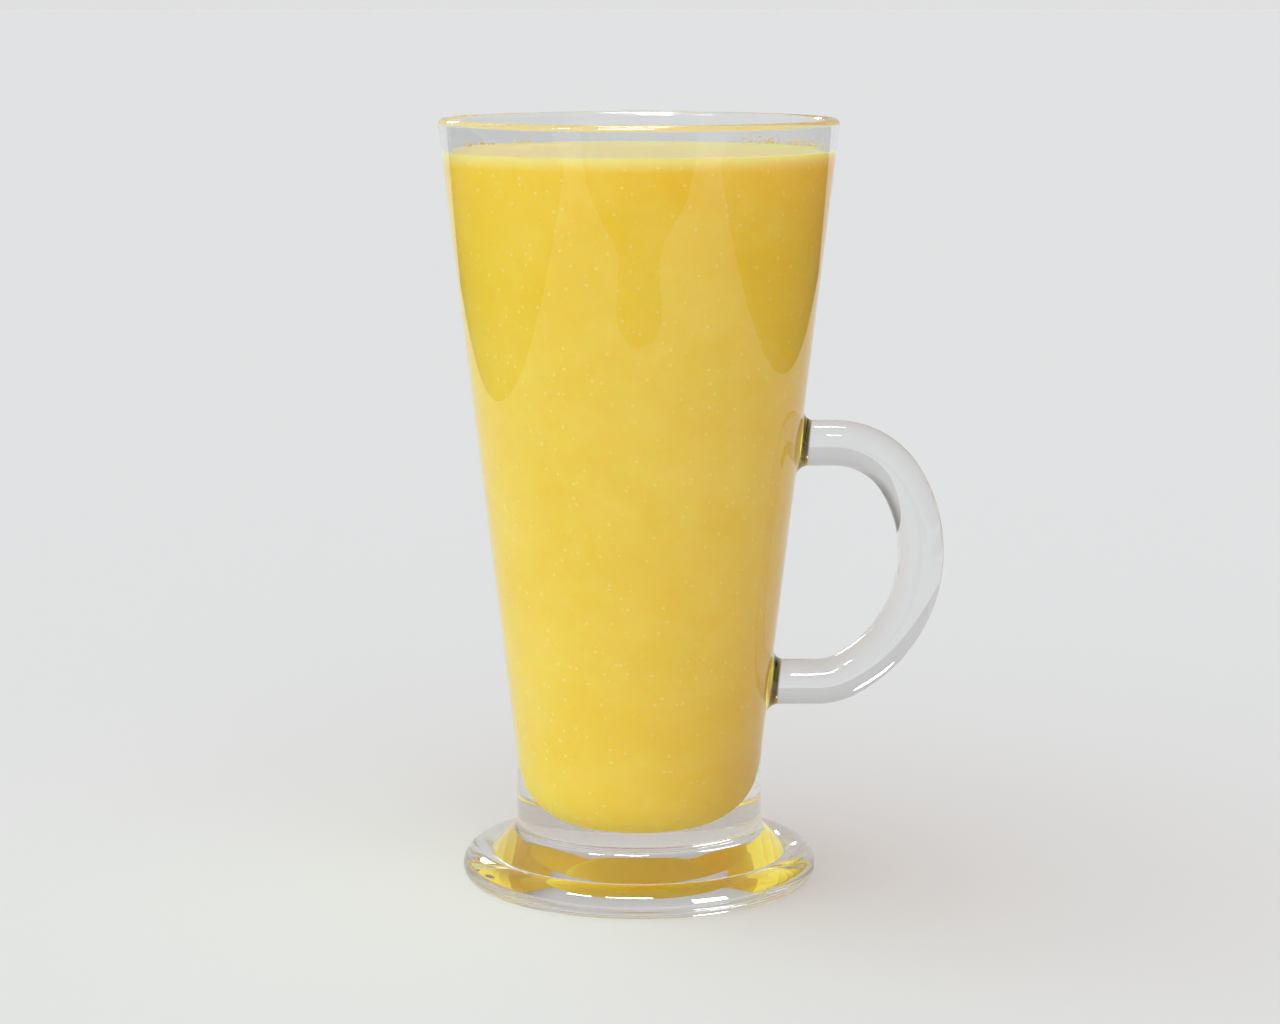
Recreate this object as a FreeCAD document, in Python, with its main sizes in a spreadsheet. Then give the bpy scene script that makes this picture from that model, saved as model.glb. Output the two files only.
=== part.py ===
"""Tall handled glass with its mango lassi, in millimetres.

The glass is one fused piece: a thick conical bowl, a short collar, a round
foot with a beaded edge, and a bent rod for a handle. The drink fills the bowl
up to a level just under the rim. The origin is on the bowl's axis at the
underside of the foot, +Z points up and the handle points to +X.
"""
import FreeCAD
import Part
import math
import os
import Sketcher

ORIGIN = -1          # geometry index of a sketch's own axes and origin
ON_START, ON_END, ON_CENTRE = 1, 2, 3

# name, value, what it is
DIMENSIONS = [
    ("glass_height", 155.0, "underside of the foot to the top of the lip"),
    ("rim_radius", 40.0, "outside of the lip"),
    ("lip_radius", 1.1, "rounding of the lip, half the wall there"),
    ("collar_radius", 25.1, "outside of the collar under the cone"),
    ("collar_bottom", 10.9, "where the foot's slope meets the collar"),
    ("collar_top", 22.6, "where the collar begins to lean out into the cone"),
    ("shoulder_bend", 60.0, "bend from the collar to the cone"),
    ("foot_radius", 36.2, "outside of the foot"),
    ("foot_round", 2.6, "rounding under the foot's edge"),
    ("bead_radius", 3.9, "rounded bead on top of the foot's edge"),
    ("step_radius", 30.1, "where the bead meets the foot's slope"),
    ("corner_blend", 3.0, "hollow corner between the slope and the collar"),
    ("floor_height", 12.0, "thickness of glass under the drink"),
    ("well_radius", 14.3, "inner wall carried down to the floor"),
    ("well_round", 9.0, "rounding from the floor into the inner wall"),
    ("fill_gap", 6.4, "from the top of the lip down to the drink"),
    ("rod_radius", 4.65, "handle rod"),
    ("arm_height", 89.7, "middle of the handle's upper arm"),
    ("arm_spacing", 49.3, "upper arm to lower arm, middle to middle"),
    ("grip_reach", 57.4, "axis to the outermost middle of the rod"),
    ("upper_bend", 15.9, "bend from the upper arm into the grip"),
    ("upper_turn", 58.2, "how far the upper bend turns, in degrees"),
    ("lower_bend", 12.2, "bend from the grip into the lower arm"),
    ("lower_turn", 27.7, "how far the lower bend turns, in degrees"),
    ("root_blend", 1.5, "fillet where the rod is fused to the bowl"),
    ("headroom", 10.0, "how far the cutting tools run above the lip"),
]

doc = FreeCAD.newDocument("mango_lassi_glass")
sheet = doc.addObject("Spreadsheet::Sheet", "sizes")
for row, (alias, number, meaning) in enumerate(DIMENSIONS, start=1):
    sheet.set(f"A{row}", alias)
    sheet.set(f"B{row}", str(number))
    sheet.setAlias(f"B{row}", alias)
    sheet.set(f"C{row}", meaning)
doc.recompute()


def size(alias):
    """A driving dimension, read back from the sheet."""
    return float(sheet.get(alias))


def cell(formula):
    """The formula with every dimension's name pointed at the sheet."""
    words = formula.split()
    named = [f"sizes.{word}" if word in sheet_names else word for word in words]
    return " ".join(named)


sheet_names = {alias for alias, _, _ in DIMENSIONS}


def point(x, z):
    """A point of a sketch, whose second axis is the height."""
    return FreeCAD.Vector(x, z, 0)


def new_body(label):
    """An empty body whose label names its file."""
    body = doc.addObject("PartDesign::Body", label)
    body.Label = label
    return body


def plane_of(body, role):
    """One of the body's own origin planes."""
    return next(f for f in body.Origin.OriginFeatures if f.Role == role)


def new_sketch(body, name, role="XZ_Plane"):
    """A sketch laid on one of the body's origin planes."""
    sketch = body.newObject("Sketcher::SketchObject", name)
    sketch.AttachmentSupport = [(plane_of(body, role), "")]
    sketch.MapMode = "FlatFace"
    doc.recompute()
    return sketch


def line(sketch, start, end):
    return sketch.addGeometry(Part.LineSegment(point(*start), point(*end)), False)


def arc(sketch, centre, radius, start, end):
    """An arc, anticlockwise from one angle to another, in radians."""
    circle = Part.Circle(point(*centre), FreeCAD.Vector(0, 0, 1), radius)
    return sketch.addGeometry(Part.ArcOfCircle(circle, start, end), False)


def bind(sketch, name, kind, *where, formula, value):
    """A dimension of the sketch, bound to the sheet by its formula."""
    number = sketch.addConstraint(Sketcher.Constraint(kind, *where, value))
    sketch.renameConstraint(number, name)
    sketch.setExpression(f"Constraints.{name}", cell(formula))


def place(sketch, name, geometry, end, across=None, up=None):
    """Ties a point to the sketch's origin: (formula, value) across and up."""
    for kind, suffix, bound in (("DistanceX", "across", across), ("DistanceY", "up", up)):
        if bound:
            formula, value = bound
            where = (ORIGIN, ON_START, geometry, end)
            bind(sketch, f"{name}_{suffix}", kind, *where, formula=formula, value=value)


def join(sketch, first, first_end, second, second_end, smooth=False):
    """Two ends at one point, in one direction where the joint is smooth."""
    kind = "Tangent" if smooth else "Coincident"
    sketch.addConstraint(Sketcher.Constraint(kind, first, first_end, second, second_end))


def fix_to_axis(sketch, geometry, end):
    """Puts a point on the upright axis."""
    sketch.addConstraint(Sketcher.Constraint("PointOnObject", geometry, end, -2))


def level(sketch, geometry):
    sketch.addConstraint(Sketcher.Constraint("Horizontal", geometry))


def upright(sketch, geometry):
    sketch.addConstraint(Sketcher.Constraint("Vertical", geometry))


def revolve(body, kind, name, sketch):
    """A full turn of the sketch about the upright axis, added or cut."""
    feature = body.newObject(f"PartDesign::{kind}", name)
    feature.Profile = sketch
    feature.ReferenceAxis = (sketch, ["V_Axis"])
    feature.Angle = 360
    doc.recompute()
    return feature


def wall_to_lip(well, lip_centre, lip):
    """The inner wall from the well's corner, up to where it meets the lip.

    Gives the lean from upright, and the point where the lip's circle is met.
    """
    across, up = lip_centre[0] - well[0], lip_centre[1] - well[1]
    lean = math.atan2(across, up) - math.asin(lip / math.hypot(across, up))
    return lean, (lip_centre[0] - lip * math.cos(lean), lip_centre[1] + lip * math.sin(lean))


def cone_between(bend_centre, bend, lip_centre, lip):
    """The straight cone between the shoulder's bend and the lip.

    The bend's centre lies outside the wall and the lip's centre inside it.
    Gives the lean from upright and the points where the two circles are met.
    """
    across, up = bend_centre[0] - lip_centre[0], bend_centre[1] - lip_centre[1]
    lean = -math.acos((bend + lip) / math.hypot(across, up)) - math.atan2(up, across)
    outward = (math.cos(lean), -math.sin(lean))
    start = (bend_centre[0] - bend * outward[0], bend_centre[1] - bend * outward[1])
    end = (lip_centre[0] + lip * outward[0], lip_centre[1] + lip * outward[1])
    return lean, start, end


def draw_outside(body):
    """The outline of the glass with no hollow in it: foot, collar and cone."""
    sketch = new_sketch(body, "outside_outline")
    foot, under, bead = size("foot_radius"), size("foot_round"), size("bead_radius")
    step, collar = size("step_radius"), size("collar_radius")
    height, lip = size("glass_height"), size("lip_radius")
    bead_top = math.acos((step - foot + bead) / bead)
    step_height = under + bead * math.sin(bead_top)
    lip_centre = (size("rim_radius") - lip, height - lip)
    shoulder, bend = (collar, size("collar_top")), size("shoulder_bend")
    bend_centre = (collar + bend, shoulder[1])
    corner = (collar, size("collar_bottom"))
    lean, cone_start, cone_end = cone_between(bend_centre, bend, lip_centre, lip)

    underside = line(sketch, (0, 0), (foot - under, 0))
    edge = arc(sketch, (foot - under, under), under, -math.pi / 2, 0)
    beading = arc(sketch, (foot - bead, under), bead, 0, bead_top)
    slope = line(sketch, (step, step_height), corner)
    neck = line(sketch, corner, shoulder)
    flare = arc(sketch, bend_centre, bend, math.pi - lean, math.pi)
    cone = line(sketch, cone_start, cone_end)
    lip_arc = arc(sketch, lip_centre, lip, -lean, math.pi / 2)
    top = line(sketch, (lip_centre[0], height), (0, height))
    axis = line(sketch, (0, height), (0, 0))

    join(sketch, underside, ON_START, ORIGIN, ON_START)
    level(sketch, underside)
    join(sketch, underside, ON_END, edge, ON_START, smooth=True)
    join(sketch, edge, ON_END, beading, ON_START, smooth=True)
    join(sketch, beading, ON_END, slope, ON_START)
    join(sketch, slope, ON_END, neck, ON_START)
    upright(sketch, neck)
    join(sketch, neck, ON_END, flare, ON_END, smooth=True)
    join(sketch, flare, ON_START, cone, ON_START, smooth=True)
    join(sketch, cone, ON_END, lip_arc, ON_START, smooth=True)
    join(sketch, lip_arc, ON_END, top, ON_START, smooth=True)
    level(sketch, top)
    join(sketch, top, ON_END, axis, ON_START)
    upright(sketch, axis)
    join(sketch, axis, ON_END, underside, ON_START)

    bind(sketch, "edge_round", "Radius", edge, formula="foot_round", value=under)
    bind(sketch, "bead_round", "Radius", beading, formula="bead_radius", value=bead)
    bind(sketch, "lip_round", "Radius", lip_arc, formula="lip_radius", value=lip)
    place(sketch, "foot_edge", edge, ON_CENTRE, across=("foot_radius - foot_round", foot - under))
    sketch.addConstraint(Sketcher.Constraint("Horizontal", edge, ON_CENTRE, beading, ON_CENTRE))
    place(sketch, "step", slope, ON_START, across=("step_radius", step))
    place(sketch, "corner", neck, ON_START, across=("collar_radius", collar),
          up=("collar_bottom", corner[1]))
    place(sketch, "shoulder", neck, ON_END, up=("collar_top", shoulder[1]))
    bind(sketch, "shoulder_round", "Radius", flare, formula="shoulder_bend", value=bend)
    place(sketch, "lip", lip_arc, ON_CENTRE, across=("rim_radius - lip_radius", lip_centre[0]),
          up=("glass_height - lip_radius", lip_centre[1]))
    return sketch


def draw_hollow(body):
    """The outline of the bowl's inside, run on above the lip."""
    sketch = new_sketch(body, "hollow_outline")
    floor, well, turn = size("floor_height"), size("well_radius"), size("well_round")
    height, lip = size("glass_height"), size("lip_radius")
    above = height + size("headroom")
    lip_centre = (size("rim_radius") - lip, height - lip)
    lean, touch = wall_to_lip((well, floor), lip_centre, lip)
    setback = turn * math.tan((math.pi / 2 - lean) / 2)
    turn_centre = (well - setback, floor + turn)
    wall_start = (well + setback * math.sin(lean), floor + setback * math.cos(lean))

    bottom = line(sketch, (0, floor), (turn_centre[0], floor))
    rounding = arc(sketch, turn_centre, turn, -math.pi / 2, -lean)
    wall = line(sketch, wall_start, touch)
    lip_arc = arc(sketch, lip_centre, lip, math.pi / 2, math.pi - lean)
    rise = line(sketch, (lip_centre[0], height), (lip_centre[0], above))
    top = line(sketch, (lip_centre[0], above), (0, above))
    axis = line(sketch, (0, above), (0, floor))
    guide = sketch.addGeometry(Part.LineSegment(point(well, floor), point(*wall_start)), True)

    fix_to_axis(sketch, bottom, ON_START)
    level(sketch, bottom)
    join(sketch, bottom, ON_END, rounding, ON_START, smooth=True)
    join(sketch, rounding, ON_END, wall, ON_START, smooth=True)
    join(sketch, wall, ON_END, lip_arc, ON_END, smooth=True)
    join(sketch, lip_arc, ON_START, rise, ON_START)
    sketch.addConstraint(Sketcher.Constraint("Vertical", lip_arc, ON_CENTRE, lip_arc, ON_START))
    upright(sketch, rise)
    join(sketch, rise, ON_END, top, ON_START)
    level(sketch, top)
    join(sketch, top, ON_END, axis, ON_START)
    upright(sketch, axis)
    join(sketch, axis, ON_END, bottom, ON_START)
    join(sketch, guide, ON_END, wall, ON_START)
    sketch.addConstraint(Sketcher.Constraint("Parallel", guide, wall))

    bind(sketch, "floor_turn", "Radius", rounding, formula="well_round", value=turn)
    bind(sketch, "lip_round", "Radius", lip_arc, formula="lip_radius", value=lip)
    place(sketch, "floor", bottom, ON_START, up=("floor_height", floor))
    place(sketch, "well", guide, ON_START, across=("well_radius", well), up=("floor_height", floor))
    place(sketch, "lip", lip_arc, ON_CENTRE, across=("rim_radius - lip_radius", lip_centre[0]),
          up=("glass_height - lip_radius", lip_centre[1]))
    place(sketch, "mouth", top, ON_START, up=("glass_height + headroom", above))
    return sketch


def draw_handle_path(body):
    """The middle line of the rod: two level arms and three bends."""
    sketch = new_sketch(body, "handle_path")
    high, spacing = size("arm_height"), size("arm_spacing")
    upper, upper_turn = size("upper_bend"), math.radians(size("upper_turn"))
    lower, lower_turn = size("lower_bend"), math.radians(size("lower_turn"))
    bends_drop = upper * (1 - math.cos(upper_turn)) + lower * (1 - math.cos(lower_turn))
    grip = (spacing - bends_drop) / (math.cos(upper_turn) + math.cos(lower_turn))
    low, grip_x = high - spacing, size("grip_reach") - grip
    upper_centre = (grip_x + (grip - upper) * math.sin(upper_turn), high - upper)
    grip_centre = (grip_x, upper_centre[1] - (grip - upper) * math.cos(upper_turn))
    lower_centre = (grip_x + (grip - lower) * math.sin(lower_turn), low + lower)
    print(f"handle: grip bend {grip:.2f} mm, upper arm ends at {upper_centre[0]:.2f} mm")

    upper_arm = line(sketch, (0, high), (upper_centre[0], high))
    upper_arc = arc(sketch, upper_centre, upper, math.pi / 2 - upper_turn, math.pi / 2)
    grip_arc = arc(sketch, grip_centre, grip, lower_turn - math.pi / 2, math.pi / 2 - upper_turn)
    lower_arc = arc(sketch, lower_centre, lower, -math.pi / 2, lower_turn - math.pi / 2)
    lower_arm = line(sketch, (lower_centre[0], low), (0, low))

    fix_to_axis(sketch, upper_arm, ON_START)
    level(sketch, upper_arm)
    join(sketch, upper_arm, ON_END, upper_arc, ON_END, smooth=True)
    join(sketch, upper_arc, ON_START, grip_arc, ON_END, smooth=True)
    join(sketch, grip_arc, ON_START, lower_arc, ON_END, smooth=True)
    join(sketch, lower_arc, ON_START, lower_arm, ON_START, smooth=True)
    level(sketch, lower_arm)
    fix_to_axis(sketch, lower_arm, ON_END)

    place(sketch, "upper_arm", upper_arm, ON_START, up=("arm_height", high))
    place(sketch, "lower_arm", lower_arm, ON_END, up=("arm_height - arm_spacing", low))
    bind(sketch, "upper_round", "Radius", upper_arc, formula="upper_bend", value=upper)
    bind(sketch, "lower_round", "Radius", lower_arc, formula="lower_bend", value=lower)
    bind(sketch, "upper_angle", "Angle", upper_arc, formula="upper_turn * 1 deg", value=upper_turn)
    bind(sketch, "lower_angle", "Angle", lower_arc, formula="lower_turn * 1 deg", value=lower_turn)
    outermost = sketch.addGeometry(Part.Point(point(size("grip_reach"), grip_centre[1])), True)
    sketch.addConstraint(Sketcher.Constraint("PointOnObject", outermost, ON_START, grip_arc))
    sketch.addConstraint(
        Sketcher.Constraint("Horizontal", outermost, ON_START, grip_arc, ON_CENTRE))
    place(sketch, "grip", outermost, ON_START, across=("grip_reach", size("grip_reach")))
    return sketch


def draw_rod_section(body):
    """The rod's round section, at the start of its path."""
    sketch = new_sketch(body, "rod_section", "YZ_Plane")
    circle = Part.Circle(point(0, size("arm_height")), FreeCAD.Vector(0, 0, 1), size("rod_radius"))
    rod = sketch.addGeometry(circle, False)
    fix_to_axis(sketch, rod, ON_CENTRE)
    place(sketch, "rod", rod, ON_CENTRE, up=("arm_height", size("arm_height")))
    bind(sketch, "rod_round", "Radius", rod, formula="rod_radius", value=size("rod_radius"))
    return sketch


def blend(body, name, edge_names, formula):
    """A fillet over the named edges of the body as it stands."""
    rounded = body.Tip
    fillet = body.newObject("PartDesign::Fillet", name)
    fillet.Base = (rounded, edge_names)
    fillet.setExpression("Radius", cell(formula))
    doc.recompute()
    return fillet


def edges_where(shape, wanted):
    """The names of the edges that pass the test."""
    return [f"Edge{number}" for number, edge in enumerate(shape.Edges, start=1) if wanted(edge)]


def is_ring(radius, height):
    """A test for the level circle of that size about the axis."""
    near = 0.01

    def test(edge):
        return all(abs(math.hypot(p.x, p.y) - radius) < near and abs(p.z - height) < near
                   for p in edge.discretize(Number=9))

    return test


def is_root(height):
    """A test for the seam where an arm meets the bowl.

    It lies on the rod, and unlike the rod's own lines and rings it runs in
    all three directions.
    """
    near = 0.05

    def test(edge):
        points = edge.discretize(Number=9)
        spans = [max(p[axis] for p in points) - min(p[axis] for p in points) for axis in range(3)]
        on_rod = all(abs(math.hypot(p.y, p.z - height) - size("rod_radius")) < near for p in points)
        return on_rod and min(spans) > near

    return test


def make_glass():
    """Foot, collar and cone turned in one, the rod fused on, the bowl hollowed."""
    body = new_body("glass")
    revolve(body, "Revolution", "turned_blank", draw_outside(body))
    blank_volume = body.Shape.Volume

    handle = body.newObject("PartDesign::AdditivePipe", "handle_rod")
    path = draw_handle_path(body)
    handle.Profile = draw_rod_section(body)
    handle.Spine = (path, [f"Edge{number}" for number, _ in enumerate(path.Shape.Edges, start=1)])
    handle.Transition = "Transformed"
    body.Tip = handle
    doc.recompute()
    handled_volume = body.Shape.Volume

    arms = (size("arm_height"), size("arm_height") - size("arm_spacing"))
    roots = [name for arm in arms for name in edges_where(body.Shape, is_root(arm))]
    blend(body, "root_blends", roots, "root_blend")
    rooted_volume = body.Shape.Volume

    collar = size("collar_radius")
    corner = edges_where(body.Shape, is_ring(collar, size("collar_bottom")))
    blend(body, "corner_fillet", corner, "corner_blend")
    solid_volume = body.Shape.Volume

    hollow = draw_hollow(body)
    revolve(body, "Groove", "hollow", hollow)
    glass_volume = body.Shape.Volume
    print(f"glass: blank {blank_volume:.0f}, with handle {handled_volume:.0f}, "
          f"roots {rooted_volume:.0f}, solid {solid_volume:.0f}, hollowed {glass_volume:.0f} mm3")
    assert len(roots) >= len(arms) and corner
    assert handled_volume > blank_volume and glass_volume < solid_volume
    return body


def make_lassi():
    """The drink: the bowl's hollow, levelled off below the lip."""
    body = new_body("lassi")
    revolve(body, "Revolution", "brimful", draw_hollow(body))
    brimful_volume = body.Shape.Volume

    sketch = new_sketch(body, "above_the_drink")
    fill = size("glass_height") - size("fill_gap")
    above = size("glass_height") + 2 * size("headroom")
    wide = size("rim_radius")
    corners = [(0, fill), (wide, fill), (wide, above), (0, above)]
    sides = [line(sketch, a, b) for a, b in zip(corners, corners[1:] + corners[:1])]
    for side, following in zip(sides, sides[1:] + sides[:1]):
        join(sketch, side, ON_END, following, ON_START)
    for side in sides[0::2]:
        level(sketch, side)
    for side in sides[1::2]:
        upright(sketch, side)
    fix_to_axis(sketch, sides[0], ON_START)
    place(sketch, "surface", sides[0], ON_END, across=("rim_radius", wide),
          up=("glass_height - fill_gap", fill))
    place(sketch, "top", sides[2], ON_END, up=("glass_height + 2 * headroom", above))
    revolve(body, "Groove", "levelled", sketch)
    print(f"lassi: brimful {brimful_volume:.0f}, levelled {body.Shape.Volume:.0f} mm3")
    assert body.Shape.Volume < brimful_volume
    return body


sub_parts = [make_glass(), make_lassi()]
doc.recompute()
for item in doc.Objects:
    if "Invalid" in item.State or "Error" in item.State:
        raise RuntimeError(f"{item.Label} failed: {item.State}")
for sub_part in sub_parts:
    if sub_part.Shape.isNull() or not sub_part.Shape.isValid():
        raise RuntimeError(f"{sub_part.Label} has no valid shape")
    if len(sub_part.Shape.Solids) != 1:
        raise RuntimeError(f"{sub_part.Label} is not one solid")

os.makedirs("parts", exist_ok=True)
for sub_part in sub_parts:
    sub_part.Shape.exportStep(f"parts/{sub_part.Label}.step")
    box = sub_part.Shape.optimalBoundingBox()
    print(f"{sub_part.Label}: {len(sub_part.Shape.Faces)} faces, "
          f"{box.XLength:.2f} x {box.YLength:.2f} x {box.ZLength:.2f} mm")
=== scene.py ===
# %% [markdown]
# # A handled glass of mango lassi
#
# This lesson builds a tall, thick-walled glass with a fused handle, filled with mango lassi.
# The CAD frame gives the size and the place of both pieces, and everything here is modelled around it.
#
# The glass is one turned body with a bent rod melted onto its side, so it is a spun outline joined to a
# bent rod. The drink is a second spun outline. It reaches just into the wall of the glass, because
# a drink wets its glass and leaves no air between the two.

# %% Load the frame
import math
import random

import bmesh
import bpy
from mathutils import Matrix, Vector


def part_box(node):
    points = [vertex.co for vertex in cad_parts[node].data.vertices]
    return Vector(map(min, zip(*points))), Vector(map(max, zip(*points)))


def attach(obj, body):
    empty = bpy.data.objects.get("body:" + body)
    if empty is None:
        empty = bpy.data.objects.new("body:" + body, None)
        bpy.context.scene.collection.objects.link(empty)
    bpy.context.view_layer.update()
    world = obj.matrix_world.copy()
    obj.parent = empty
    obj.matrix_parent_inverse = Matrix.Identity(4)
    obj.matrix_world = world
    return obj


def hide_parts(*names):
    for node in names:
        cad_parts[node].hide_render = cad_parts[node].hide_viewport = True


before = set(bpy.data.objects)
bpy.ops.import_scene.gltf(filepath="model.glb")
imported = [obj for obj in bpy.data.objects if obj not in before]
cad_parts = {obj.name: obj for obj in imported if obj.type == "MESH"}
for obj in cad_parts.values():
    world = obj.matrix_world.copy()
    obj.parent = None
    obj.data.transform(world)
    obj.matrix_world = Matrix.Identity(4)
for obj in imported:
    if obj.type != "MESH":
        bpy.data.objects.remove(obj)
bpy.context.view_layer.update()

MM = 0.001

# %% [markdown]
# ## Small helpers
#
# Every piece ends the same way: its bmesh gets clean outward normals, becomes an object at the origin,
# takes its materials and rides on the body of the frame.

# %% Helpers for making pieces
guard = 0.05
merge_gap = 0.002


def circle_points(centre, radius, start, end, steps):
    """Points (r, z) along a round stretch of an outline, angles in radians."""
    turns = [start + (end - start) * i / steps for i in range(steps + 1)]
    return [(centre[0] + radius * math.cos(a), centre[1] + radius * math.sin(a)) for a in turns]


def straight_points(start, end, steps):
    """Points (r, z) inside a straight stretch, with one close to each of its ends.

    The close ones keep the soft shading of a bend from running on into the straight.
    """
    close = guard / math.dist(start, end)
    parts = [close] + [i / steps for i in range(1, steps)] + [1 - close]
    return [(start[0] + (end[0] - start[0]) * p, start[1] + (end[1] - start[1]) * p) for p in parts]


def spun(outline, steps):
    """A bmesh made by turning an outline of (r, z) points in millimetres once round the Z axis."""
    bm = bmesh.new()
    corners = [bm.verts.new((r * MM, 0, z * MM)) for r, z in outline]
    edges = [bm.edges.new(pair) for pair in zip(corners, corners[1:])]
    bmesh.ops.spin(
        bm, geom=corners + edges, cent=(0, 0, 0), axis=(0, 0, 1), angle=math.tau, steps=steps, use_merge=True
    )
    bmesh.ops.remove_doubles(bm, verts=bm.verts, dist=merge_gap * MM)
    bmesh.ops.recalc_face_normals(bm, faces=bm.faces)
    return bm


def piece(name, bm, materials=(), crease=35):
    """Turns a bmesh into a smooth object whose edges sharper than crease degrees stay sharp."""
    mesh = bpy.data.meshes.new(name)
    bm.to_mesh(mesh)
    bm.free()
    mesh.shade_smooth()
    mesh.set_sharp_from_angle(angle=math.radians(crease))
    for material in materials:
        mesh.materials.append(material)
    made = bpy.data.objects.new(name, mesh)
    bpy.context.collection.objects.link(made)
    return made


def report(made):
    """Prints what a piece has become."""
    size = [round(d / MM, 2) for d in made.dimensions]
    print(made.name, "faces", len(made.data.polygons), "size", size, "mm")


# %% [markdown]
# ## The sizes of the glass
#
# The rim and the height come from the CAD node's box. The other sizes are the maker's own, in millimetres:
# a foot with a rounded edge and a shallow hollow, the punt, under it, a low step, a slope that runs into a
# short collar, and a cone that leans outward to a fire-polished lip. Inside, the wall keeps the lip's
# thickness for a stretch and then grows down to a round well. The CAD wall tapers in one line instead, and
# lies up to 1.8 mm further in.

# %% Sizes of the glass, in millimetres
glass_low, glass_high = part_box("glass")
glass_height = glass_high.z / MM
rim_radius = -glass_low.y / MM
lip_radius = 1.1
foot_radius = 36.2
foot_round = 2.6
punt_radius = 18.0
punt_height = 1.8
bead_radius = 3.9
step_radius = 30.1
collar_radius = 25.1
collar_bottom = 10.9
collar_top = 22.6
corner_blend = 3.0
shoulder_bend = 60.0
floor_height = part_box("lassi")[0].z / MM
drink_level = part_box("lassi")[1].z / MM
well_radius = 14.3
well_round = 9.0
even_wall = 26.0
wall_bend = 400.0
print("glass", round(glass_height, 2), "high, rim", round(rim_radius, 2), "level", round(drink_level, 2))

# %% Lines that touch two round stretches


def touching(first, first_reach, second, second_reach):
    """The angle of the direction square to the line that touches two circles.

    A reach is a radius, and is negative where the line lies on the circle's near side.
    """
    across = second[0] - first[0]
    up = second[1] - first[1]
    share = (first_reach - second_reach) / math.hypot(across, up)
    return math.atan2(up, across) - math.acos(share)


lip_centre = (rim_radius - lip_radius, glass_height - lip_radius)
bend_centre = (collar_radius + shoulder_bend, collar_top)
outer_lean = touching(bend_centre, -shoulder_bend, lip_centre, lip_radius)
inner_lean = touching(lip_centre, lip_radius, (well_radius, floor_height), 0) + math.tau
wall_slope = math.tan(math.pi - inner_lean)
round_centre = (
    well_radius + well_round * wall_slope - well_round / math.cos(math.pi - inner_lean),
    floor_height + well_round,
)
print("cone leans", round(math.degrees(outer_lean), 2), "inside", round(math.degrees(inner_lean), 2))

# %% [markdown]
# ## The body of the glass
#
# On the real glass the body is pressed and fire polished, so its outline is all soft curves. It could be
# modelled from cylinders and tori, but one outline spun round the axis keeps every curve tangent to
# the next one, and that is what makes the reflections run smoothly.

# %% Outline of the outside
bead_centre = (foot_radius - bead_radius, foot_round)
bead_end = math.acos((step_radius - bead_centre[0]) / bead_radius)
step_height = bead_centre[1] + bead_radius * math.sin(bead_end)
slope_angle = math.atan2(collar_bottom - step_height, collar_radius - step_radius)
blend_half = (slope_angle - math.pi / 2) / 2
blend_centre = (collar_radius + corner_blend, collar_bottom + corner_blend * math.tan(blend_half))

punt_bend = (punt_radius**2 + punt_height**2) / (2 * punt_height)
punt_half = math.asin(punt_radius / punt_bend)
punt_centre = (0, punt_height - punt_bend)

outside = circle_points(punt_centre, punt_bend, math.pi / 2, math.pi / 2 - punt_half, 24)
outside += straight_points(outside[-1], (foot_radius - foot_round, 0), 4)
outside += circle_points((foot_radius - foot_round, foot_round), foot_round, -math.pi / 2, 0, 16)
outside += circle_points(bead_centre, bead_radius, 0, bead_end, 28)[1:]
outside += circle_points(blend_centre, corner_blend, math.pi / 2 + slope_angle, math.pi, 14)
outside += circle_points(bend_centre, shoulder_bend, math.pi, math.pi + outer_lean, 10)
lip_outside = (
    lip_centre[0] + lip_radius * math.cos(outer_lean),
    lip_centre[1] + lip_radius * math.sin(outer_lean),
)
outside += straight_points(outside[-1], lip_outside, 26)
print("outside has", len(outside), "points, step at", round(step_height, 2))

# %% Outline of the inside
even_lean = outer_lean + math.pi
lip_inside = circle_points(lip_centre, lip_radius, outer_lean, even_lean, 24)
even_end = (lip_inside[-1][0] + even_wall * math.tan(outer_lean), lip_inside[-1][1] - even_wall)
bend_middle = (
    even_end[0] + wall_bend * math.cos(even_lean),
    even_end[1] + wall_bend * math.sin(even_lean),
)
low_lean = touching(bend_middle, -wall_bend, round_centre, -well_round) + math.tau
inner_bend = circle_points(bend_middle, wall_bend, even_lean - math.pi, low_lean - math.pi, 10)
wall_foot = circle_points(round_centre, well_round, low_lean - math.pi, -math.pi / 2, 24)
inner_wall = straight_points(lip_inside[-1], even_end, 8) + inner_bend
inner_wall += straight_points(inner_bend[-1], wall_foot[0], 20)
inside = inner_wall + wall_foot
inside += straight_points(wall_foot[-1], (0, floor_height), 3) + [(0, floor_height)]
print("wall leans", round(math.degrees(low_lean), 2), "below", round(even_end[1], 1))

# %% Turn the body
body_steps = 256
body_bm = spun(outside + lip_inside + inside, body_steps)
print("body faces", len(body_bm.faces))

# %% [markdown]
# ## The handle
#
# The handle is a round rod, drawn out while hot, bent into an ear and pressed onto the cone at both ends.
# It could be a curve with a bevel. Spinning one ring of points along each bend gives true arcs
# instead, and the two ends can follow the cone, where the soft glass has spread into a small fillet.

# %% Sizes of the handle, in millimetres
rod_radius = 4.65
arm_height = 89.7
arm_spacing = 49.3
grip_reach = glass_high.x / MM - rod_radius
upper_bend = 15.9
upper_turn = math.radians(58.2)
lower_bend = 12.2
lower_turn = math.radians(27.7)
root_blend = 2.3
root_bite = 0.7
root_gap = 0.004
rod_merge = 0.01
rise = upper_bend * (1 - math.cos(upper_turn)) + lower_bend * (1 - math.cos(lower_turn))
grip_bend = (arm_spacing - rise) / (math.cos(upper_turn) + math.cos(lower_turn))
grip_centre = grip_reach - grip_bend
print("grip bend", round(grip_bend, 2), "reach", round(grip_reach, 2))

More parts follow.
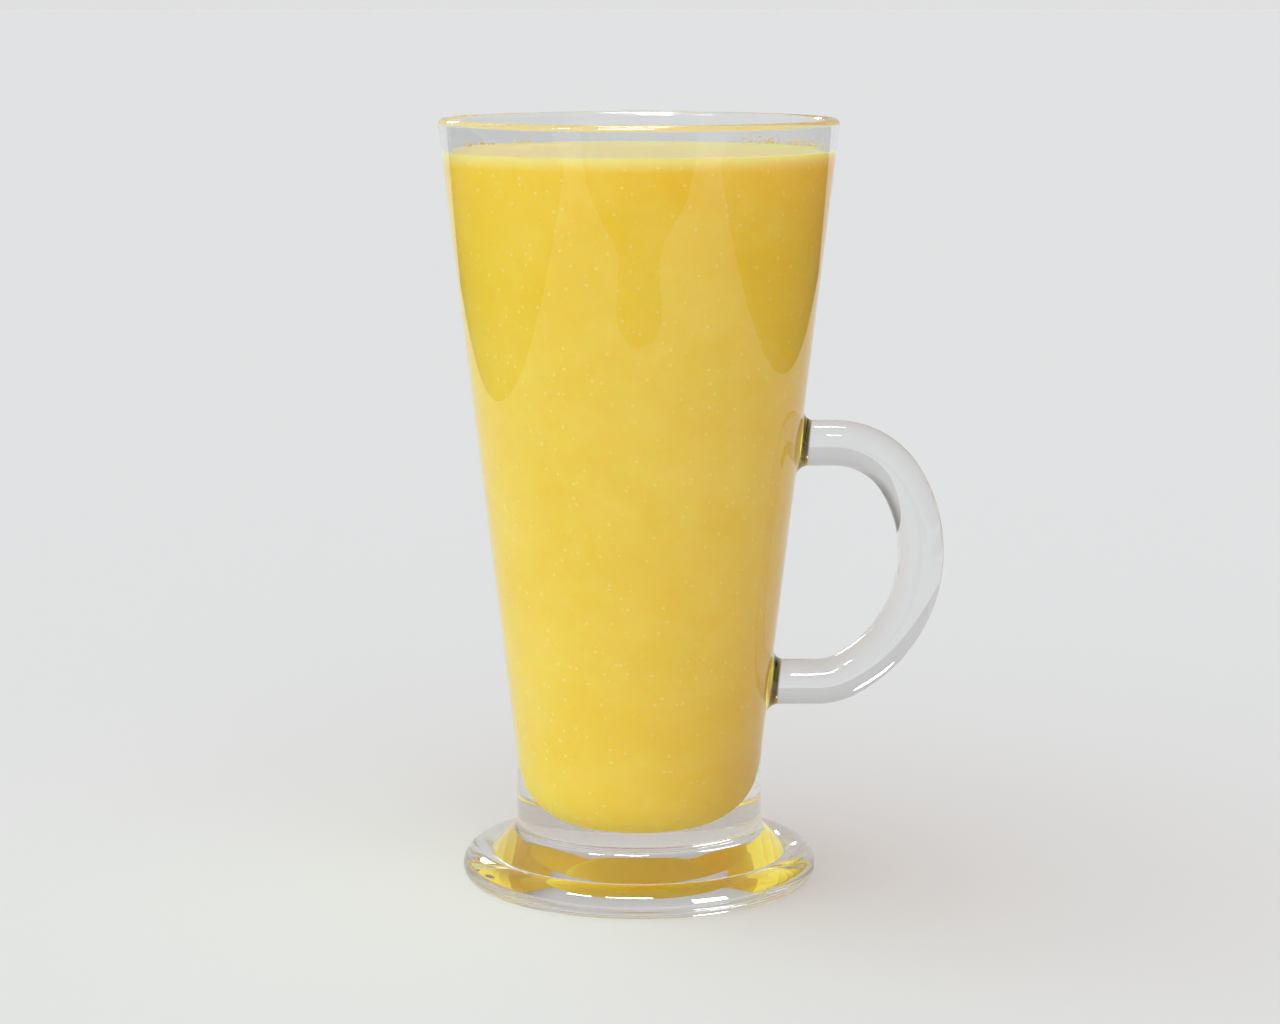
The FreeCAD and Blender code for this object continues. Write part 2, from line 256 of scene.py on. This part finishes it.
# %% The two flared ends of the rod


def cone_radius(height):
    """The outer radius of the cone at a height, in millimetres."""
    return lip_outside[0] + (lip_outside[1] - height) * math.tan(outer_lean)


def root_ring(bm, arm, ring_points, away, radius):
    """A ring round a level arm, whose points all lie the same way off the cone."""
    ring = []
    for point in range(ring_points):
        turn = math.tau * point / ring_points
        side = radius * math.cos(turn)
        height = arm + radius * math.sin(turn)
        wall = math.sqrt(cone_radius(height) ** 2 - side**2)
        ring.append(bm.verts.new(((wall + away) * MM, side * MM, height * MM)))
    return ring


def ring_edges(bm, ring):
    """The edges that join the points of a ring one after the other, made where they are missing."""
    pairs = [(ring[i - 1], ring[i]) for i in range(len(ring))]
    return [bm.edges.get(pair) or bm.edges.new(pair) for pair in pairs]


def bridge(bm, near, far):
    """Joins two rings with a band of faces."""
    bmesh.ops.bridge_loops(bm, edges=ring_edges(bm, near) + ring_edges(bm, far))


def root(bm, arm, ring_points=64, rings=10):
    """The end of an arm: a closed cap in the wall, then rings that narrow to the rod.

    The first of those stands a hair clear of the cone, so that it doesn't lie in the cone's surface.
    """
    made = [root_ring(bm, arm, ring_points, -root_bite, rod_radius + root_blend)]
    for step in range(rings + 1):
        turn = math.pi / 2 * step / rings
        away = root_gap + root_blend * (1 - math.cos(turn))
        spread = root_blend * (1 - math.sin(turn))
        made.append(root_ring(bm, arm, ring_points, away, rod_radius + spread))
    for near, far in zip(made, made[1:]):
        bridge(bm, near, far)
    bm.faces.new(made[0])
    return made[-1]


rod_bm = bmesh.new()
upper_end = root(rod_bm, arm_height)
lower_end = root(rod_bm, arm_height - arm_spacing)
print("roots made", len(rod_bm.faces), "faces")

# %% The bent rod between them
upper_centre_x = grip_centre + (grip_bend - upper_bend) * math.sin(upper_turn)
lower_centre_x = grip_centre + (grip_bend - lower_bend) * math.sin(lower_turn)
grip_centre_z = arm_height - upper_bend * (1 - math.cos(upper_turn)) - grip_bend * math.cos(upper_turn)


def level_ring(bm, ring, x):
    """Bridges a ring to a new flat ring further out along a level arm, and gives the new one."""
    far = [bm.verts.new((x * MM, v.co.y, v.co.z)) for v in ring]
    bridge(bm, ring, far)
    return far


upper_arm = level_ring(rod_bm, upper_end, upper_centre_x)
level_ring(rod_bm, lower_end, lower_centre_x)
spin_edges = ring_edges(rod_bm, upper_arm)
bends = (
    (upper_centre_x, arm_height - upper_bend, upper_turn, 24),
    (grip_centre, grip_centre_z, math.pi - upper_turn - lower_turn, 44),
    (lower_centre_x, arm_height - arm_spacing + lower_bend, lower_turn, 12),
)
for centre_x, centre_z, turn, steps in bends:
    swept = bmesh.ops.spin(rod_bm, geom=spin_edges, cent=(centre_x * MM, 0, centre_z * MM),
                           axis=(0, 1, 0), angle=turn, steps=steps, use_merge=False)
    spin_edges = [e for e in swept["geom_last"] if isinstance(e, bmesh.types.BMEdge)]
bmesh.ops.remove_doubles(rod_bm, verts=rod_bm.verts, dist=rod_merge * MM)
bmesh.ops.recalc_face_normals(rod_bm, faces=rod_bm.faces)
open_edges = [e for e in rod_bm.edges if not e.is_manifold]
print("rod faces", len(rod_bm.faces), "open edges", len(open_edges))

# %% Melt the handle onto the body
glass_body = piece("glass_body", body_bm)
rod = piece("rod", rod_bm)
union = glass_body.modifiers.new("melted on", "BOOLEAN")
union.operation = "UNION"
union.solver = "EXACT"
union.object = rod
joined = bpy.data.meshes.new_from_object(glass_body.evaluated_get(bpy.context.evaluated_depsgraph_get()))
glass_body.modifiers.clear()
glass_body.data = joined
joined.name = "glass_body"
bpy.data.objects.remove(rod)
joined.shade_smooth()
joined.set_sharp_from_angle(angle=math.radians(30))
report(glass_body)

# %% [markdown]
# ## The drink
#
# Mango lassi is yoghurt blended with mango pulp. It is thick, so where it meets the glass it climbs a
# little and leaves a soft edge, and the CAD level lies halfway up that climb. The outline follows the
# inside of the glass and bites into it by a few hundredths of a millimetre. The free top has a material of
# its own, because only the top is wet and shiny.

# %% Outline of the drink
wall_bite = 0.06
climb = 0.6
climb_reach = 1.1
climb_width = 6.0
climb_steps = 24
climb_ease = 1.6
side_gap = 0.5
rest_level = drink_level - climb / 2


def inner_radius(height):
    """The radius of the inner wall at a height above the well's round, in millimetres."""
    for high, low in zip(inner_wall, inner_wall[1:] + wall_foot[:1]):
        if low[1] <= height <= high[1]:
            return low[0] + (high[0] - low[0]) * (height - low[1]) / (high[1] - low[1])
    return wall_foot[0][0]


contact = (inner_radius(rest_level + climb) + wall_bite, rest_level + climb)
well_middle = (0, floor_height - wall_bite)
well_edge = (round_centre[0], floor_height - wall_bite)
drink_outline = [well_middle] + straight_points(well_middle, well_edge, 3)
drink_outline += circle_points(round_centre, well_round + wall_bite, -math.pi / 2, low_lean - math.pi, 24)
drink_outline += [(r + wall_bite, z) for r, z in reversed(inner_wall) if z < contact[1] - side_gap]
top_points = [contact]
for step in range(1, climb_steps + 1):
    reach = climb_width * (step / climb_steps) ** climb_ease
    top_points.append((contact[0] - wall_bite - reach, rest_level + climb * math.exp(-reach / climb_reach)))
drink_outline += top_points
drink_outline += straight_points(top_points[-1], (0, rest_level), 12) + [(0, rest_level)]

# %% Turn the drink
drink_steps = 192
top_normal = 0.15
top_from = 0.98
drink_bm = spun(drink_outline, drink_steps)
for face in drink_bm.faces:
    on_top = face.normal.z > top_normal and face.calc_center_median().z > drink_level * MM * top_from
    face.material_index = int(on_top)
print("drink faces", len(drink_bm.faces), "volume", round(drink_bm.calc_volume() * 1e6, 1), "ml")

# %% [markdown]
# ## Materials
#
# The glass is clear soda-lime glass with the faint ripple of a pressed and fire-polished surface. Round each
# root of the handle a thin dark band is painted on by place: painted shade for the dark line at the fillet.
# A shadow ray that meets real glass would stop there, so the glass lets shadow and diffuse rays straight
# through. The drink behind it is then lit as it is in daylight, without the grain of caustics.

# %% Helpers for materials


def new_material(name):
    """An empty node material, its node tree and an output node."""
    material = bpy.data.materials.new(name)
    material.use_nodes = True
    tree = material.node_tree
    tree.nodes.clear()
    return material, tree, tree.nodes.new("ShaderNodeOutputMaterial")


def set_plain(shader, **values):
    """Sets sockets of a shader by name; an underscore stands for a space."""
    for name, value in values.items():
        shader.inputs[name.replace("_", " ")].default_value = value


def piece_place(tree):
    """The place on a piece, in metres from its origin."""
    return tree.nodes.new("ShaderNodeTexCoord").outputs["Object"]


def split_place(tree, place):
    """The X, Y and Z of a place, by name."""
    node = tree.nodes.new("ShaderNodeSeparateXYZ")
    tree.links.new(place, node.inputs["Vector"])
    return node.outputs


def noise(tree, place, **values):
    """Soft noise read at a place."""
    node = tree.nodes.new("ShaderNodeTexNoise")
    set_plain(node, **values)
    tree.links.new(place, node.inputs["Vector"])
    return node.outputs["Fac"]


def ramp(tree, value, start, end, low=0.0, high=1.0, smooth=False):
    """A mask that runs from low to high while a value runs from start to end."""
    node = tree.nodes.new("ShaderNodeMapRange")
    node.interpolation_type = "SMOOTHSTEP" if smooth else "LINEAR"
    set_plain(node, From_Min=start, From_Max=end, To_Min=low, To_Max=high)
    tree.links.new(value, node.inputs["Value"])
    return node.outputs["Result"]


def combine(tree, operation, first, second):
    """Two values joined by one Math node."""
    node = tree.nodes.new("ShaderNodeMath")
    node.operation = operation
    for socket, value in zip(node.inputs, (first, second)):
        if isinstance(value, float):
            socket.default_value = value
        else:
            tree.links.new(value, socket)
    return node.outputs["Value"]


def blend(tree, mask, first, second):
    """Two colours mixed by a mask; each is a colour or a socket that gives one."""
    node = tree.nodes.new("ShaderNodeMix")
    node.data_type = "RGBA"
    tree.links.new(mask, node.inputs["Factor"])
    for label, colour in (("A", first), ("B", second)):
        if isinstance(colour, tuple):
            node.inputs[label].default_value = colour
        else:
            tree.links.new(colour, node.inputs[label])
    return node.outputs["Result"]


def either(tree, mask, first, second):
    """The first shader where a mask is 0, and the second where it is 1."""
    node = tree.nodes.new("ShaderNodeMixShader")
    tree.links.new(mask, node.inputs["Fac"])
    tree.links.new(first, node.inputs[1])
    tree.links.new(second, node.inputs[2])
    return node.outputs["Shader"]


def raise_bumps(tree, height, shader, strength, depth):
    """Feeds a height to a shader's normal; the depth is in millimetres."""
    node = tree.nodes.new("ShaderNodeBump")
    set_plain(node, Strength=strength, Distance=depth * MM)
    tree.links.new(height, node.inputs["Height"])
    tree.links.new(node.outputs["Normal"], shader.inputs["Normal"])


# %% Pulp, shared by the drink and the bits in it


def new_group(name, inputs, outputs):
    """A shader node group with named sockets, and its input and output nodes."""
    group = bpy.data.node_groups.new(name, "ShaderNodeTree")
    for label, kind, value in inputs:
        socket = group.interface.new_socket(name=label, in_out="INPUT", socket_type="NodeSocket" + kind)
        socket.default_value = value
    for label, kind in outputs:
        group.interface.new_socket(name=label, in_out="OUTPUT", socket_type="NodeSocket" + kind)
    return group, group.nodes.new("NodeGroupInput"), group.nodes.new("NodeGroupOutput")


pulp, pulp_in, pulp_out = new_group(
    "pulp",
    [("Juice", "Color", (0.84, 0.56, 0.05, 1)), ("Pale", "Color", (0.9, 0.68, 0.16, 1)),
     ("Speck", "Color", (0.95, 0.85, 0.55, 1)), ("Speck Share", "Float", 0.5)],
    [("Color", "Color"), ("Height", "Float")],
)
place = piece_place(pulp)
dots = pulp.nodes.new("ShaderNodeTexVoronoi")
set_plain(dots, Scale=430.0, Randomness=1.0)
pulp.links.new(place, dots.inputs["Vector"])
cloud = ramp(pulp, noise(pulp, place, Scale=38.0, Detail=7.0, Roughness=0.74), 0.4, 0.72, 0.0, 0.8)
dot = ramp(pulp, dots.outputs["Distance"], 0.08, 0.18, 1.0, 0.0)
speck_share = combine(pulp, "MULTIPLY", dot, pulp_in.outputs["Speck Share"])
clouded = blend(pulp, cloud, pulp_in.outputs["Juice"], pulp_in.outputs["Pale"])
specked = blend(pulp, speck_share, clouded, pulp_in.outputs["Speck"])
grain = noise(pulp, place, Scale=900.0, Detail=3.0, Roughness=0.55)
pulp.links.new(specked, pulp_out.inputs["Color"])
pulp.links.new(grain, pulp_out.inputs["Height"])
print("group", pulp.name, "nodes", len(pulp.nodes))


def add_pulp(tree, **values):
    """Places the pulp in a material with that material's own values, and gives its outputs."""
    look = tree.nodes.new("ShaderNodeGroup")
    look.node_tree = pulp
    set_plain(look, **values)
    return look.outputs


# %% Clear glass
glass_tint = (0.91, 0.912, 0.91, 1)
# painted shade: the dark colour of the band round each root of the handle
painted_seam_shade = (0.05, 0.06, 0.035, 1)
seam_rise = (0.04 * MM, 0.2 * MM)
seam_fall = (1.2 * MM, 1.9 * MM)
seam_floor = (31 * MM, 33 * MM)
foot_shade = (4 * MM, 14 * MM)


def seam_shade_mask(tree, split):
    """Painted shade: a thin dark band round each root, where the handle was pressed on the cone."""
    lean = combine(tree, "MULTIPLY", split["Z"], -math.tan(outer_lean))
    cone = combine(tree, "ADD", lean, cone_radius(0) * MM)
    away = combine(tree, "SUBTRACT", split["X"], cone)
    band = combine(tree, "MULTIPLY", ramp(tree, away, *seam_rise), ramp(tree, away, *seam_fall, 1.0, 0.0))
    return combine(tree, "MULTIPLY", band, ramp(tree, split["Z"], *seam_floor))


def make_glass():
    """Clear glass that lets lamps and soft light through to what is behind it."""
    material, tree, output = new_material("clear_glass")
    shader = tree.nodes.new("ShaderNodeBsdfPrincipled")
    set_plain(shader, Roughness=0.0, IOR=1.52, Transmission_Weight=1.0)
    place = piece_place(tree)
    split = split_place(tree, place)
    ripple = noise(tree, place, Scale=70.0, Detail=1.5, Roughness=0.4)
    raise_bumps(tree, ripple, shader, strength=0.35, depth=0.05)
    # the base colour turns dark in the painted shade round the handle's roots
    tree.links.new(blend(tree, seam_shade_mask(tree, split), glass_tint, painted_seam_shade), shader.inputs["Base Color"])
    lamp_way = tree.nodes.new("ShaderNodeBsdfTransparent")
    tree.links.new(ramp(tree, split["Z"], *foot_shade, 0.5, 0.96), lamp_way.inputs["Color"])
    open_way = tree.nodes.new("ShaderNodeBsdfTransparent")
    set_plain(open_way, Color=(0.97, 0.975, 0.97, 1))
    ray = tree.nodes.new("ShaderNodeLightPath").outputs
    solid = either(tree, ray["Is Shadow Ray"], shader.outputs["BSDF"], lamp_way.outputs["BSDF"])
    opened = either(tree, ray["Is Diffuse Ray"], solid, open_way.outputs["BSDF"])
    tree.links.new(opened, output.inputs["Surface"])
    return material


clear_glass = make_glass()
print("material", clear_glass.name)

# %% Mango lassi, behind the glass and at its free top
# painted sheen: the pale cream toward the free top stands in for the shine of the top seen almost edge on
sheen_cream = (0.99, 0.8, 0.37, 1)
sheen_depth = 2.6
sheen_share = 0.65


def make_lassi(name, juice, pale, speck, share, shine, roughness, bump_depth):
    """The drink: opaque and milky, with light that travels a little way under its surface.

    Toward its free top it turns paler: painted sheen in place of the shine of the top seen almost edge on.
    """
    material, tree, output = new_material(name)
    shader = tree.nodes.new("ShaderNodeBsdfPrincipled")
    set_plain(shader, Roughness=roughness, IOR=1.35, Specular_IOR_Level=shine, Subsurface_Weight=0.8,
              Subsurface_Scale=0.014, Subsurface_Radius=(1.0, 0.25, 0.06))
    look = add_pulp(tree, Juice=juice, Pale=pale, Speck=speck, Speck_Share=share)
    height = split_place(tree, piece_place(tree))["Z"]
    top_sheen = ramp(tree, height, (drink_level - sheen_depth) * MM, rest_level * MM, 0.0, sheen_share)
    tree.links.new(blend(tree, top_sheen, look["Color"], sheen_cream), shader.inputs["Base Color"])
    raise_bumps(tree, look["Height"], shader, strength=0.4, depth=bump_depth)
    tree.links.new(shader.outputs["BSDF"], output.inputs["Surface"])
    return material


lassi_side = make_lassi(
    "lassi_side", juice=(0.87, 0.6, 0.052, 1), pale=(0.915, 0.69, 0.12, 1), speck=(0.95, 0.82, 0.36, 1),
    share=0.45, shine=0.0, roughness=0.6, bump_depth=0.04,
)
# the top's colours are a little paler than the side's, painted sheen as well
lassi_top = make_lassi(
    "lassi_top", juice=(0.87, 0.62, 0.06, 1), pale=(0.91, 0.7, 0.14, 1), speck=(0.95, 0.86, 0.55, 1),
    share=0.3, shine=0.05, roughness=0.35, bump_depth=0.03,
)
print("materials", lassi_side.name, lassi_top.name)

# %% Finish the glass and the drink
glass_body.data.materials.append(clear_glass)
lassi_drink = piece("lassi_drink", drink_bm, [lassi_side, lassi_top], crease=60)
report(lassi_drink)
for made, node, slot in ((glass_body, "glass", "clear_glass"), (lassi_drink, "lassi", "mango_lassi")):
    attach(made, "root")
    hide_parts(node)

# %% [markdown]
# ## Pulp, flecks and bubbles
#
# Blended mango leaves pale threads and a few dark flecks of peel, which show where they lie against the
# glass. A few bubbles cling to the wall just above the edge of the free top. All are small ball shapes,
# joined in one mesh for each kind. The pulp and the flecks are sunk so far into the drink that only a low cap
# of each stands out of it, and the bubbles are sunk a little into the wall.

# %% One small ball, repeated
ball_bm = bmesh.new()
bmesh.ops.create_uvsphere(ball_bm, u_segments=8, v_segments=5, radius=MM)
ball_bm.verts.index_update()
ball_points = [v.co.copy() for v in ball_bm.verts]
ball_faces = [[v.index for v in face.verts] for face in ball_bm.faces]
ball_bm.free()
print("ball faces", len(ball_faces))

# %% Helpers for scattered bits
usual_share = 0.8
large_gain = 1.5
bit_sink = 0.72
bubble_sink = 0.6
below_level = 2


def scatter(name, count, seed, sizes, place_one, material):
    """Many small ball shapes in one mesh; place_one gives each a middle in millimetres from its size."""
    chance = random.Random(seed)
    points = []
    faces = []
    for _ in range(count):
        if chance.random() < usual_share:
            size = chance.uniform(*sizes)
        else:
            size = sizes[1] * chance.uniform(1, large_gain)
        middle = place_one(chance, size)
        stretch = Matrix.Diagonal((size, size * chance.uniform(0.7, 1), size * chance.uniform(0.6, 1), 1))
        turn = Matrix.Rotation(chance.uniform(0, math.tau), 4, "X")
        spot = Matrix.Translation(Vector(middle) * MM) @ turn @ stretch
        faces += [[len(points) + corner for corner in face] for face in ball_faces]
        points += [spot @ point for point in ball_points]
    loose = bpy.data.meshes.new(name + "_points")
    loose.from_pydata(points, [], faces)
    bm = bmesh.new()
    bm.from_mesh(loose)
    bpy.data.meshes.remove(loose)
    made = piece(name, bm, [material], crease=80)
    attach(made, "root")
    report(made)


def on_wall(chance, size):
    """A place on the side of the drink, so deep that only a low cap of the bit stands out."""
    turn = chance.uniform(0, math.tau)
    height = chance.uniform(floor_height + well_round, drink_level - below_level)
    r = inner_radius(height) + wall_bite - size * bit_sink
    return (r * math.cos(turn), r * math.sin(turn), height)


def at_edge(turns, spread):
    """Gives a placing function for bubbles that cling to the wall just above the drink."""

    def place_one(chance, size):
        turn = chance.uniform(*turns)
        height = rest_level + climb + abs(chance.gauss(0, spread))
        r = inner_radius(height) - size * bubble_sink
        return (r * math.cos(turn), r * math.sin(turn), height)

    return place_one


# %% Pulp, flecks and bubbles
pale_gain = 1.15


def make_plain(name, colour, roughness):
    """A small bit's own colour with a little unevenness."""
    material, tree, output = new_material(name)
    shader = tree.nodes.new("ShaderNodeBsdfPrincipled")
    set_plain(shader, Roughness=roughness, IOR=1.35, Subsurface_Weight=0.3, Subsurface_Scale=0.001)
    pale = [min(1, c * pale_gain) for c in colour[:3]] + [1]
    look = add_pulp(tree, Juice=colour, Pale=pale, Speck_Share=0.0)
    tree.links.new(look["Color"], shader.inputs["Base Color"])
    tree.links.new(shader.outputs["BSDF"], output.inputs["Surface"])
    return material


pulp_bits = make_plain("pulp_bits", (0.93, 0.75, 0.24, 1), 0.6)
peel = make_plain("peel", (0.3, 0.16, 0.03, 1), 0.6)
froth = make_plain("froth", (0.82, 0.62, 0.26, 1), 0.12)
right_side = at_edge((math.radians(8), math.radians(55)), 0.7)
left_side = at_edge((math.radians(128), math.radians(165)), 0.4)
scatter("lassi_pulp", 1500, 3, (0.06, 0.18), on_wall, pulp_bits)
scatter("lassi_flecks", 22, 8, (0.12, 0.26), on_wall, peel)
scatter("lassi_bubbles_right", 150, 5, (0.08, 0.22), right_side, froth)
scatter("lassi_bubbles_left", 50, 6, (0.08, 0.2), left_side, froth)

# %% [markdown]
# ## Floor, light and camera
#
# The glass stands on a plain pale floor in soft daylight that comes from the front and the left. One world
# holds three looks. What lights matte surfaces is bright at the front left, and dim and reddish on the far
# side. What glass mirrors and shows is a plain pale room, darker at the right. What the camera sees past the
# glass is an even pale wall. Four lamps that light no matte surface add the crisp highlights.

# %% Floor
floor_radius = 60.0
floor_drop = 0.05
floor_grey = (0.757, 0.77, 0.762, 1)


def make_floor():
    """A wide matte floor just under the foot."""
    bm = bmesh.new()
    bmesh.ops.create_circle(bm, cap_ends=True, segments=96, radius=floor_radius)
    bmesh.ops.translate(bm, verts=bm.verts, vec=(0, 0, -floor_drop * MM))
    material, tree, output = new_material("floor")
    shader = tree.nodes.new("ShaderNodeBsdfDiffuse")
    set_plain(shader, Color=floor_grey)
    tree.links.new(shader.outputs["BSDF"], output.inputs["Surface"])
    return piece("floor", bm, [material])


floor = make_floor()

# %% World
sunny_side = Vector((-0.79, -0.55, 0.26)).normalized()
dim_light = (0.32, 0.03, 0.03, 1)
day_light = (1.46, 1.65, 1.68, 1)
room_low = 0.76
room_high = 0.64
right_turn = (0.45, 0.85)
right_share = 0.25
wall_grey = (0.75, 0.75, 0.75, 1)


def make_world():
    """Soft daylight for matte surfaces, a plain room for glass, and an even pale wall for the camera."""
    world = bpy.data.worlds.new("daylight")
    world.use_nodes = True
    tree = world.node_tree
    tree.nodes.clear()
    way = tree.nodes.new("ShaderNodeTexCoord").outputs["Generated"]
    toward = tree.nodes.new("ShaderNodeVectorMath")
    toward.operation = "DOT_PRODUCT"
    toward.inputs[1].default_value = sunny_side
    tree.links.new(way, toward.inputs[0])
    level = ramp(tree, toward.outputs["Value"], -0.5, 0.6, smooth=True)
    light = tree.nodes.new("ShaderNodeBackground")
    tree.links.new(blend(tree, level, dim_light, day_light), light.inputs["Color"])
    split = split_place(tree, way)
    height = ramp(tree, split["Z"], 0.0, 1.0, room_low, room_high, smooth=True)
    right = ramp(tree, split["X"], *right_turn, 1.0, right_share)
    room = tree.nodes.new("ShaderNodeBackground")
    tree.links.new(combine(tree, "MULTIPLY", height, right), room.inputs["Strength"])
    wall = tree.nodes.new("ShaderNodeBackground")
    set_plain(wall, Color=wall_grey)
    ray = tree.nodes.new("ShaderNodeLightPath").outputs
    by_glass = combine(tree, "MAXIMUM", ray["Is Glossy Ray"], ray["Is Transmission Ray"])
    around = either(tree, by_glass, light.outputs["Background"], room.outputs["Background"])
    seen = either(tree, ray["Is Camera Ray"], around, wall.outputs["Background"])
    output = tree.nodes.new("ShaderNodeOutputWorld")
    tree.links.new(seen, output.inputs["Surface"])
    bpy.context.scene.world = world
    print("world", world.name, "nodes", len(tree.nodes))


make_world()

# %% [markdown]
# Clear glass is drawn by what it mirrors. Dark cards, which lie just over the floor round the glass, are the
# dark shapes in its shine. Nothing else shows them: they throw no shadow and dim no light. Two plain cards
# lie at the sides. The front one is a wide sheet with a round-ended tongue that points at the glass.

# %% Sizes of the dark cards, in millimetres
card_grey = (0.1, 0.1, 0.1, 1)
card_height = 0.5
side_back = 900
side_reach = 1500
tongue_half = 92
tongue_start = 430
tongue_end = 371
tongue_round = 18
tongue_steps = 12
flare = (125, 445)
shoulder = (245, 458)
corner = (305, 485)
far_corner = (640, 1000)


def side_card(edge, front):
    """The corners of a side card, from its edge by the glass outward."""
    out = math.copysign(side_reach, edge)
    return (edge, -front), (edge, side_back), (out, side_reach), (out, -front)


def front_card():
    """The corners of the front card: both halves are alike, and the tongue ends in half an ellipse."""
    right = [(tongue_half, -tongue_start)] + [(x, -y) for x, y in (flare, shoulder, corner, far_corner)]
    left = [(-x, y) for x, y in reversed(right)]
    turns = [math.pi * (1 - step / tongue_steps) for step in range(tongue_steps + 1)]
    tongue = [(tongue_half * math.cos(a), tongue_round * math.sin(a) - tongue_end) for a in turns]
    return left + tongue + right


def dark_card(name, corners):
    """A dark card of corners (x, y) in millimetres that only the shine on the glass shows."""
    bm = bmesh.new()
    face = bm.faces.new([bm.verts.new((x * MM, y * MM, card_height * MM)) for x, y in corners])
    bmesh.ops.recalc_face_normals(bm, faces=[face])
    material, tree, output = new_material(name)
    shader = tree.nodes.new("ShaderNodeEmission")
    set_plain(shader, Color=card_grey)
    tree.links.new(shader.outputs["Emission"], output.inputs["Surface"])
    card = piece(name, bm, [material])
    card.visible_camera = False
    card.visible_diffuse = False
    card.visible_transmission = False
    card.visible_shadow = False


dark_card("dark_left", side_card(edge=-390, front=420))
dark_card("dark_right", side_card(edge=425, front=400))
dark_card("dark_front", front_card())
print("front card corners", len(front_card()))

# %% Lamps for the highlights
lamp_target = Vector((0, 0, 0.08))


def aimed_lamp(name, azimuth, elevation, distance, size, power):
    """A rectangular lamp aimed at the glass that gives highlights and lights no matte surface.

    Azimuth 0 is in front, and it grows toward the right.
    """
    lamp = bpy.data.lights.new(name, "AREA")
    lamp.shape = "RECTANGLE"
    lamp.size, lamp.size_y = size
    lamp.energy = power
    made = bpy.data.objects.new(name, lamp)
    bpy.context.collection.objects.link(made)
    a = math.radians(azimuth)
    e = math.radians(elevation)
    away = Vector((math.sin(a) * math.cos(e), -math.cos(a) * math.cos(e), math.sin(e)))
    made.location = lamp_target + away * distance
    made.rotation_euler = (-away).to_track_quat("-Z", "Y").to_euler()
    made.visible_diffuse = False


aimed_lamp("window", -8, 46, 1.2, (0.55, 0.07), 14.0)
aimed_lamp("overhead", -8, 95, 1.0, (0.4, 0.05), 7.0)
aimed_lamp("side_window", -48, 44, 1.2, (0.3, 0.05), 7.0)
aimed_lamp("back_window", -157, 22, 1.3, (0.3, 0.12), 3.0)
print("lamps", len(bpy.data.lights))

# %% Camera
camera_back = 0.641
camera_up = 0.1783
camera_dip = 0.159
camera_data = bpy.data.cameras.new("camera")
camera_data.sensor_width = 36
camera_data.lens = 89.9
camera_data.shift_x = 0.0008
camera = bpy.data.objects.new("camera", camera_data)
bpy.context.collection.objects.link(camera)
camera.location = (0, -camera_back, camera_up)
camera.rotation_euler = (math.pi / 2 - camera_dip, 0, 0)
bpy.context.scene.camera = camera
bpy.context.scene.view_settings.view_transform = "Standard"

# %% [markdown]
# Light turns back many times inside thick glass before it leaves. With few bounces those paths are cut
# short and the foot goes black, so the scene allows more of them.

# %% Bounces for thick glass
bounces = 24
cycles = bpy.context.scene.cycles
cycles.max_bounces = bounces
cycles.glossy_bounces = bounces
cycles.transmission_bounces = bounces
cycles.transparent_max_bounces = bounces
print("bounces", bounces)
